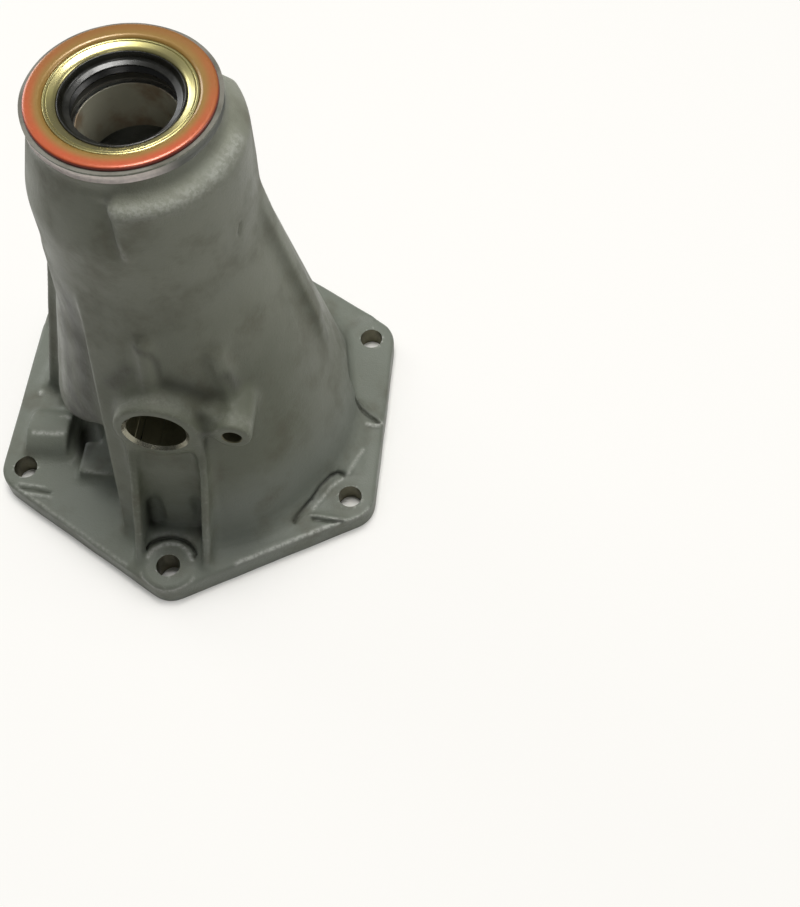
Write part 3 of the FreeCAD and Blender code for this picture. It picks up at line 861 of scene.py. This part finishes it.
# Painted highlights on edges, ridges and tops that catch the light.
highlight_strokes = [
    (a_lip, 1.0, 0.9),
    (b_valley_lip, 0.8, 0.55),
    (b_trench_lip, 0.8, 0.6),
    (rim_of_flange, 1.0, 0.9),
    (rim_front_left, 0.9, 0.4),
    (d_lip, 0.7, 0.5),
    (d_front_lip, 0.7, 0.7),
    (boss_edge, 0.9, 0.8),
    (boss_front, 0.8, 0.5),
    (neck_ridge, 3.4, 0.42),
    ([(4.8, -41.5, 203), (20.5, -36.5, 203), (34.5, -22.6, 203.5)], 1.6, 0.15),
    (arc(15.5, (*front_bolt, 16.5), range(55, 126, 10)), 1.6, 0.22),
    (limb, 3.5, 0.30),
    (port_top, 2.6, 0.16),
    (screw_top, 2.4, 0.16),
    (neck_edge, 1.5, 0.32),
    (pip, 0.9, 0.9),
    ([(-75.5, -31.0, 21.2), (-70.1, -30.8, 21.3), (-62, -30.4, 21.4)], 1.0, 0.7),
    ([(-63.5, -19.4, 20.2), (-60.4, -21.0, 20.8)], 1.2, 0.7),
    ([(-47, -49.2, 19.6), (-36, -49.2, 19.6)], 1.1, 0.5),
    (left_edge_line, 1.2, 0.25),
]
# Painted shade in grooves, hollows, scoops and beside bosses and ribs.
shade_strokes = [
    (seat_gap, 1.1, 0.85),
    (a_groove, 1.0, 0.8),
    (b_valley, 1.0, 0.7),
    (b_trench, 0.8, 0.7),
    (d_trench, 0.8, 0.5),
    ([(-29, -31, 140), (-31, -37, 112), (-33, -43, 90), (-36, -47, 70)], 7.0, 0.62),
    ([(-46, -40, 58), (-36, -49, 58)], 8.0, 0.9),
    ([(-44, -35, 72), (-38, -43, 68), (-32, -47, 70)], 6.0, 0.75),
    ([(-40, -26, 125), (-43, -31, 100), (-44, -35, 78)], 5.0, 0.45),
    ([(-7.0, -52, 119), (-15, -52, 108)], 3.5, 0.45),
    ([(8.5, -53, 113), (16, -54, 110), (24, -53, 104)], 4.0, 0.6),
    ([(33, -47, 112), (36.5, -46, 104)], 3.0, 0.5),
    ([(21, -58, 97), (22, -60, 88), (21.5, -61, 80)], 3.0, 0.6),
    ([(0.6, -49, 133), (5.5, -49.5, 124), (6.4, -52, 114)], 1.6, 0.45),
    ([(-12.0, -72, 17), (-12.0, -69, 34)], 3.6, 0.85),
    ([(14.0, -72, 17), (14.0, -69, 32)], 3.2, 0.85),
    ([(-55, -24, 14), (-53, -32, 14), (-50, -37, 18)], 4.5, 1.0),
    ([(-44, -34, 34), (-36, -40, 40)], 7.0, 0.9),
]


def paint(piece, name, strokes):
    """Store on every point how much of the strongest stroke reaches it."""
    points = read_points(piece.data)
    surface = surface_of(piece)
    amount = np.zeros(len(points))
    for path, width, strength in strokes:
        gap = distance_to_path(points, on_surface(surface, path)) / (width * mm)
        amount = np.maximum(amount, strength * np.exp(-gap * gap))
    layer = piece.data.attributes.new(name, "FLOAT", "POINT")
    layer.data.foreach_set("value", amount)


paint(casting, "painted_highlight", highlight_strokes)
paint(casting, "painted_shade", shade_strokes)
print("painted", len(highlight_strokes), "wear strokes and", len(shade_strokes), "grime strokes")

# %% [markdown]
# The seal and the bushing are rings, so one small tree makes them all. A ring starts as the
# outline of its section. Geometry Nodes turns that outline into a curve and sweeps it round
# a circle, and a sweep angle just short of a full turn leaves the butt joint of a bushing
# that was rolled from strip.

# %% Ring tree
def ring_tree(name, closed):
    inputs = {"Radius": "Float", "Joint Angle": "Float", "Steps": "Int"}
    tree, sockets, source = new_tree(name, inputs)
    section = node(tree, "GeometryNodeMeshToCurve")
    sweep = node(tree, "GeometryNodeCurveToMesh", {"Fill Caps": not closed})
    link = tree.links.new
    if closed:
        path = node(tree, "GeometryNodeCurvePrimitiveCircle")
    else:
        path = node(tree, "GeometryNodeCurveArc")
        angle = combine(tree, "SUBTRACT", 2 * math.pi, source["Joint Angle"])
        link(angle, path.inputs["Sweep Angle"])
    link(source["Steps"], path.inputs["Resolution"])
    link(source["Radius"], path.inputs["Radius"])
    link(source["Geometry"], section.inputs["Mesh"])
    link(path.outputs["Curve"], sweep.inputs["Curve"])
    link(section.outputs["Curve"], sweep.inputs["Profile Curve"])
    end_tree(tree, sweep.outputs["Mesh"], source["Material"])
    return tree, sockets


closed_ring = ring_tree("closed_ring", True)
split_ring = ring_tree("split_ring", False)


# %% Ring maker
seal_steps = 200
ring_steps = 180
longest_rounding = 0.48


def rounded(corners, steps=6):
    """Outline with each (radius, height, round) corner replaced by a smooth curve."""
    outline = []
    count = len(corners)
    for i, (x, y, reach) in enumerate(corners):
        here = Vector((x, y))
        if reach == 0:
            outline.append(here)
            continue
        before = here - Vector(corners[i - 1][:2])
        after = Vector(corners[(i + 1) % count][:2]) - here
        start = here - before.normalized() * min(reach, longest_rounding * before.length)
        end = here + after.normalized() * min(reach, longest_rounding * after.length)
        for j in range(steps + 1):
            t = j / steps
            outline.append(start * (1 - t) ** 2 + here * 2 * t * (1 - t) + end * t * t)
    return outline


def make_ring(name, corners, material, steps, tree=closed_ring, joint=0.0):
    """Sweep an outline round the axis of the housing. The joint angle is that of a split ring."""
    outline = rounded(corners)
    middle = sum(spot.x for spot in outline) / len(outline)
    spots = [(spot.x - middle, -spot.y, 0) for spot in outline]
    edges = [(i, (i + 1) % len(spots)) for i in range(len(spots))]
    mesh = bpy.data.meshes.new(name)
    mesh.from_pydata(spots, edges, [])
    piece = add_object(name, mesh)
    run_tree(piece, *tree, radius=middle, joint_angle=joint, steps=steps, material=material)
    face_outwards(piece.data)
    smooth_but_edges(piece.data)
    return piece


# %% [markdown]
# The seal has four parts. A pressed steel can carries the wide flange, dipped in orange-red
# sealant that is painted browner towards the back, partly its own tone and partly painted
# light, with a painted shade line on its outer edge. A gold plated ring is nested in it. Black
# rubber
# is bonded to the ring, with a dust lip above an oil lip, and a coiled spring hugs the oil lip.

# %% Finish: sealant coat, gold plate, rubber, spring and bushing
def sealant_coat():
    """Orange-red lacquer over pressed steel, browner on the rear half partly as painted light, with
    a painted shade line on the outer edge.
    """
    material, tree, shader = new_material(
        "sealant_coat", metallic=0.2, coat_weight=0.25, coat_roughness=0.15)
    place, axes = object_place(tree)
    flat = node(tree, "ShaderNodeVectorMath", {1: (1, 1, 0)}, operation="MULTIPLY")
    tree.links.new(place, flat.inputs[0])
    away = node(tree, "ShaderNodeVectorMath", operation="LENGTH")
    tree.links.new(flat.outputs[0], away.inputs[0])
    effect = use_group(
        tree, surface_effect, cloud_scale=45.0, grain_scale=1500.0, speckle_scale=300.0)
    cloud = ramp(tree, effect["Cloud"], 0.35, 0.65, -0.12, 0.12)
    # The rear half is painted browner: partly the coat's own tone, partly painted light.
    rear = combine(tree, "ADD", ramp(tree, axes["Y"], -30 * mm, 34 * mm), cloud)
    speckle = effect["Speckle"]
    colour = blend_colour(tree, speckle, (0.50, 0.085, 0.022), (0.40, 0.070, 0.022))
    colour = blend_colour(tree, rear, colour, (0.26, 0.120, 0.030))
    # Browner towards the inner edge of the flange.
    inner_brown = ramp(tree, away.outputs["Value"], 33.0 * mm, 29.5 * mm)
    colour = blend_colour(tree, inner_brown, colour, (0.26, 0.150, 0.035))
    # Painted shade: a dark line where the outer edge of the flange rounds over.
    outer_edge_shade = ramp(tree, away.outputs["Value"], 34.3 * mm, 34.9 * mm)
    colour = blend_colour(tree, outer_edge_shade, colour, (0.16, 0.020, 0.010))
    dress(tree, shader, colour, ramp(tree, effect["Grain"], 0.3, 0.7, 0.30, 0.42))
    bump(tree, shader, effect["Grain"], 0.1, 0.05 * mm)
    return material


def gold_plate():
    material, tree, shader = new_material("gold_zinc_plate", metallic=0.95)
    effect = use_group(tree, surface_effect, cloud_scale=70.0, seed=5.0)
    mask = ramp(tree, effect["Cloud"], 0.35, 0.7)
    colour = blend_colour(tree, mask, (0.56, 0.50, 0.24), (0.44, 0.40, 0.17))
    dress(tree, shader, colour, ramp(tree, effect["Cloud"], 0.3, 0.7, 0.24, 0.32))
    return material


def black_rubber(name, colour, roughness):
    material, tree, shader = new_material(name)
    effect = use_group(tree, surface_effect, cloud_scale=80.0, grain_scale=1800.0, seed=9.0)
    mask = ramp(tree, effect["Cloud"], 0.4, 0.7)
    lighter = tuple(2.2 * channel for channel in colour)
    gloss = ramp(tree, effect["Cloud"], 0.35, 0.65, roughness - 0.08, roughness + 0.08)
    dress(tree, shader, blend_colour(tree, mask, colour, lighter), gloss)
    bump(tree, shader, effect["Grain"], 0.12, 0.04 * mm)
    return material


orange_coat = sealant_coat()
gold = gold_plate()
greased_rubber = black_rubber("greased_rubber", (0.007, 0.007, 0.005), 0.34)
plain_rubber = black_rubber("plain_rubber", (0.018, 0.018, 0.018), 0.5)
spring_steel = machined_metal(
    "spring_steel", (0.55, 0.55, 0.53), (0.40, 0.38, 0.33), roughness=0.25)
bushing_steel = machined_metal("bushing_steel", (0.42, 0.42, 0.40), (0.30, 0.29, 0.26))
bronze = machined_metal(
    "oiled_bronze", (0.46, 0.45, 0.35), (0.30, 0.22, 0.14), roughness=0.48, metallic=0.2)

# %% Seal can with its wide flange
seal_top = can_high.z
seal_flange = can_high.x
seal_body = counterbore - 0.05 * mm
can_wall = 1.4 * mm
can_inside = seal_body - can_wall


def seal_can():
    corners = [
        (can_inside, can_low.z, 0.2 * mm),
        (seal_body, can_low.z, 0.8 * mm),
        (seal_body, casting_top, 0.2 * mm),
        (seal_flange, casting_top, 0.3 * mm),
        *from_point(seal_flange, seal_top, (0, -0.5, 0.6), (-0.9, 0, 0.8)),
        *from_point(can_inside, seal_top, (1.1, 0, 0.7), (0, -0.8, 0.6)),
    ]
    return make_ring("seal_can", corners, orange_coat, seal_steps)


finish_piece(seal_can(), "sealant_coated_steel", "seal_outer_case")

# %% Plated ring inside the can
ring_outside = can_inside - 0.05 * mm
skirt = yoke_radius + 4.35 * mm
face_height = seal_top - 0.75 * mm


def plated_ring():
    """Rolled outer bead, a shallow groove, a dished face and a skirt that holds the rubber."""
    foot, sheet = can_low.z + 0.6 * mm, 1.2
    bead = (0, 0, 0.5), (-1.0, 0, 0.4), (-1.25, -0.45, 0.2), (-1.5, -0.1, 0.3)
    dish = (1.0, -0.9, 0.5), (0, -1.6, 0.5), (0, -7.0, 0), (sheet, -7.0, 0), (sheet, -2.4, 0.4)
    corners = [
        (ring_outside, foot, 0.2 * mm),
        *from_point(ring_outside, face_height, *bead),
        *from_point(skirt, face_height, *dish),
        *from_point(ring_outside, face_height, (-sheet, -1.8, 0.3)),
        (ring_outside - sheet * mm, foot, 0),
    ]
    return make_ring("seal_plated_ring", corners, gold, seal_steps)


finish_piece(plated_ring(), "gold_zinc_steel", "seal_inner_case")

# %% Rubber lips
lip_tip = yoke_radius + 0.15 * mm
rubber_top = face_height - 1.5 * mm


def rubber_lips():
    bond = skirt - 0.05 * mm
    face = (0, 0, 0.4), (-0.7, 0.25, 0.4), (-1.3, -1.0, 0.5), (-1.8, -2.4, 0.7)
    dust_lip = (0, -3.2, 0.15), (0.3, -3.9, 0.2), (1.7, -4.3, 0.5), (1.5, -5.2, 0.5)
    oil_lip = (0, -6.6, 0.1), (1.2, -8.1, 0.4), (2.4, -8.3, 0.4), (2.1, -6.7, 0.5)
    heel = (3.4, -5.4, 0.4), (3.6, -4.2, 0.2)
    corners = [
        *from_point(bond, rubber_top, *face),
        *from_point(lip_tip, rubber_top, *dust_lip, *oil_lip, *heel),
        (bond, rubber_top - 4.0 * mm, 0),
    ]
    return make_ring("seal_rubber_lips", corners, greased_rubber, seal_steps)


finish_piece(rubber_lips(), "seal_rubber", "seal_lip")


# %% [markdown]
# The garter spring is a long fine coil whose ends meet, so that it makes a circle. Modelling
# each turn by hand would be hopeless. Here the points of a fine circle are moved on small
# loops round it, by a formula of their index, and a thin round wire is swept along them.

# %% Garter spring tree
def spring_tree():
    inputs = dict.fromkeys(("Circle Radius", "Coil Radius", "Wire Radius", "Height"), "Float")
    inputs.update(dict.fromkeys(("Turns", "Steps Per Turn", "Wire Sides"), "Int"))
    tree, sockets, source = new_tree("garter_spring", inputs)
    link = tree.links.new

    def times(first, second):
        return combine(tree, "MULTIPLY", first, second)

    def turned(count, whole):
        """Angle in radians after a count of steps, when a full turn has the whole number."""
        return times(combine(tree, "DIVIDE", count, whole), 2 * math.pi)

    index = node(tree, "GeometryNodeInputIndex").outputs[0]
    points = times(source["Turns"], source["Steps Per Turn"])
    around = turned(index, points)
    phase = turned(index, source["Steps Per Turn"])
    swing = times(combine(tree, "COSINE", phase), source["Coil Radius"])
    lift = times(combine(tree, "SINE", phase), source["Coil Radius"])
    radius = combine(tree, "ADD", source["Circle Radius"], swing)
    place = node(tree, "ShaderNodeCombineXYZ")
    link(times(radius, combine(tree, "COSINE", around)), place.inputs[0])
    link(times(radius, combine(tree, "SINE", around)), place.inputs[1])
    link(combine(tree, "ADD", source["Height"], lift), place.inputs[2])
    circle = node(tree, "GeometryNodeCurvePrimitiveCircle")
    link(points, circle.inputs["Resolution"])
    moved = node(tree, "GeometryNodeSetPosition")
    link(circle.outputs["Curve"], moved.inputs["Geometry"])
    link(place.outputs[0], moved.inputs["Position"])
    wire = node(tree, "GeometryNodeCurvePrimitiveCircle")
    link(source["Wire Sides"], wire.inputs["Resolution"])
    link(source["Wire Radius"], wire.inputs["Radius"])
    sweep = node(tree, "GeometryNodeCurveToMesh")
    link(moved.outputs["Geometry"], sweep.inputs["Curve"])
    link(wire.outputs["Curve"], sweep.inputs["Profile Curve"])
    end_tree(tree, sweep.outputs["Mesh"], source["Material"])
    return tree, sockets


# %% Garter spring
def garter_spring():
    low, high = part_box("garter_spring")
    bundle = (high.z - low.z) / 2
    wire = 0.2 * mm
    piece = add_object("garter_spring_coil", bpy.data.meshes.new("garter_spring_coil"))
    run_tree(
        piece, *spring_tree(), circle_radius=high.x - bundle, coil_radius=bundle - wire,
        wire_radius=wire, height=(low.z + high.z) / 2, turns=230, steps_per_turn=10,
        wire_sides=6, material=spring_steel)
    face_outwards(piece.data)
    piece.data.shade_smooth()
    return piece


finish_piece(garter_spring(), "spring_steel", "garter_spring")

# %% [markdown]
# The bushing is a strip of steel with a bronze face, rolled into a tube and pressed into the
# neck. Both layers share the open butt joint, and the bronze has small chamfers at its ends.

# %% Bushing
joint_angle = 0.012


def bushing_layer(name, node_name, inner, outer, material, round_inner):
    low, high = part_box(node_name)
    corners = [
        (inner, low.z, round_inner),
        (outer, low.z, 0.1 * mm),
        (outer, high.z, 0.1 * mm),
        (inner, high.z, round_inner),
    ]
    return make_ring(name, corners, material, ring_steps, split_ring, joint_angle)


lining_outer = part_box("bushing_lining")[1].x
lining = bushing_layer(
    "bushing_bronze_face", "bushing_lining", yoke_radius, lining_outer, bronze, 0.3 * mm)
finish_piece(lining, "bushing_bronze", "bushing_lining")
shell = bushing_layer(
    "bushing_steel_shell", "bushing_back", lining_outer, bushing_high.x, bushing_steel, 0.02 * mm)
finish_piece(shell, "bushing_steel", "bushing_back")

# %% [markdown]
# The case seal ring is a moulded rubber ring in its groove under the flange. It has a crowned
# section, pressed flat where it meets the case.

# %% Case seal ring
def case_ring():
    inner = ring_high.x - 3.2 * mm
    corners = [
        (inner, 0.0, 0.5 * mm),
        (ring_high.x, 0.0, 0.5 * mm),
        (ring_high.x, ring_high.z, 1.1 * mm),
        (inner, ring_high.z, 1.1 * mm),
    ]
    return make_ring("case_seal_ring_moulded", corners, plain_rubber, ring_steps)


finish_piece(case_ring(), "ring_rubber", "case_seal_ring")

# %% [markdown]
# The stage is a pale floor and a white world. Both are white only where the camera looks at
# them, and the floor in reflections too, save near the object, where it keeps the shadow. The
# surfaces themselves get a dim sky and soft lamps, so that colours render about as written.

# %% Floor and world
floor_half = 3.0
sky_strength = 0.16


def seen_by(tree, *kinds):
    """1 on rays of the given kinds and 0 on all the rest."""
    rays = node(tree, "ShaderNodeLightPath")
    seen = rays.outputs[kinds[0]]
    for kind in kinds[1:]:
        seen = combine(tree, "MAXIMUM", seen, rays.outputs[kind])
    return seen


def mix_surfaces(tree, share, first, second, output):
    mixed = node(tree, "ShaderNodeMixShader")
    tree.links.new(share, mixed.inputs["Fac"])
    tree.links.new(first.outputs[0], mixed.inputs[1])
    tree.links.new(second.outputs[0], mixed.inputs[2])
    tree.links.new(mixed.outputs[0], tree.nodes[output].inputs["Surface"])


def stage_floor():
    half = floor_half
    mesh = bpy.data.meshes.new("floor")
    corners = [(-half, -half, 0), (half, -half, 0), (half, half, 0), (-half, half, 0)]
    mesh.from_pydata(corners, [], [(0, 1, 2, 3)])
    piece = add_object("floor", mesh)
    material, tree, shader = new_material("pale_floor", roughness=0.9)
    shader.inputs["Base Color"].default_value = (0.86, 0.85, 0.82, 1)
    glow = node(tree, "ShaderNodeEmission", {"Color": (1.0, 0.985, 0.95, 1), "Strength": 1.0})
    seen = seen_by(tree, "Is Camera Ray", "Is Glossy Ray", "Is Transmission Ray")
    open_sky = node(tree, "ShaderNodeAmbientOcclusion", {"Distance": 0.06}, samples=8)
    away = ramp(tree, open_sky.outputs["AO"], 0.35, 0.95, 0.0, 0.85)
    share = combine(tree, "MULTIPLY", seen, away)
    mix_surfaces(tree, share, shader, glow, "Material Output")
    mesh.materials.append(material)


def stage_world():
    world = bpy.data.worlds.new("studio")
    bpy.context.scene.world = world
    world.use_nodes = True
    tree = world.node_tree
    sky = tree.nodes["Background"]
    sky.inputs["Color"].default_value = (0.93, 0.96, 1.0, 1)
    sky.inputs["Strength"].default_value = sky_strength
    white = node(tree, "ShaderNodeBackground", {"Color": (1, 1, 1, 1), "Strength": 1.0})
    seen = seen_by(tree, "Is Camera Ray", "Is Transmission Ray")
    mix_surfaces(tree, seen, sky, white, "World Output")


stage_floor()
stage_world()
print("floor half width", floor_half, "m, sky strength", sky_strength)


# %% Lamps
lamp_aim = Vector((0, 0, 0.08))


def soft_lamp(name, place, size, power, colour):
    lamp = bpy.data.lights.new(name, "AREA")
    lamp.size = size
    lamp.energy = power
    lamp.color = colour
    holder = bpy.data.objects.new(name, lamp)
    bpy.context.scene.collection.objects.link(holder)
    holder.location = place
    holder.rotation_euler = (Vector(place) - lamp_aim).to_track_quat("Z", "Y").to_euler()


soft_lamp("ceiling_lamp", (0.02, 0.20, 1.15), 0.35, 9.5, (1.0, 0.99, 0.96))
soft_lamp("window_left", (-0.80, 0.65, 0.50), 0.5, 4.5, (0.98, 0.99, 1.0))
soft_lamp("window_right", (0.75, 0.15, 0.75), 0.4, 2.2, (1.0, 0.99, 0.97))
soft_lamp("front_lamp", (0.25, -0.85, 0.95), 0.3, 1.2, (1.0, 0.98, 0.95))
bpy.context.scene.view_settings.view_transform = "Standard"
print("lamps set")
